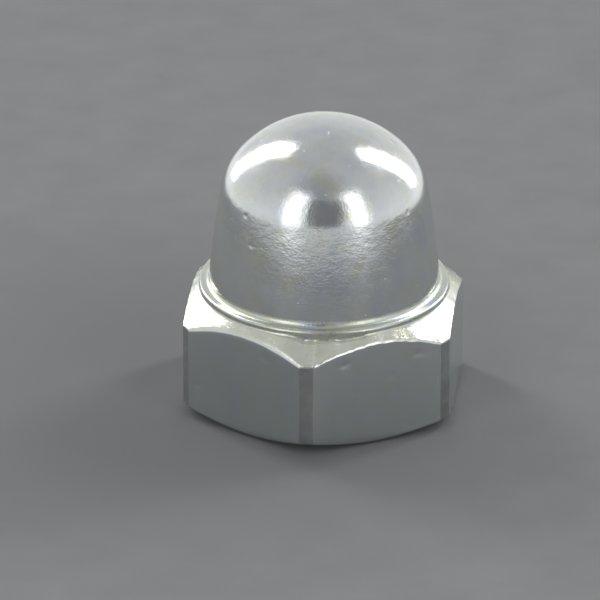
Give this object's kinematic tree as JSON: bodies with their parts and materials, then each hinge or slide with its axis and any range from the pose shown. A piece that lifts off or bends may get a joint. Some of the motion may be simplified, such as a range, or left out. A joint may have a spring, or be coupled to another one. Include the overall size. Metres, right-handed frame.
{
  "type": "domed cap nut",
  "caption": "Hexagon nut with a closed tapered dome over a blind threaded hole; it covers the end of a bolt or stud and clamps by its flat underside.",
  "frame": {"origin": "centre of the flat bearing face on the underside, on the axis of the thread", "axes": "+Z along the nut's axis towards the top of the dome; +X square to one pair of spanner flats; +Y through a pair of corners"},
  "size_m": [0.013, 0.0146, 0.0143],
  "materials": {
    "zinc_plated_steel": "bright zinc plate, clear passivated"
  },
  "bodies": {
    "root": {"cap_nut": "zinc_plated_steel"}
  },
  "joints": []
}
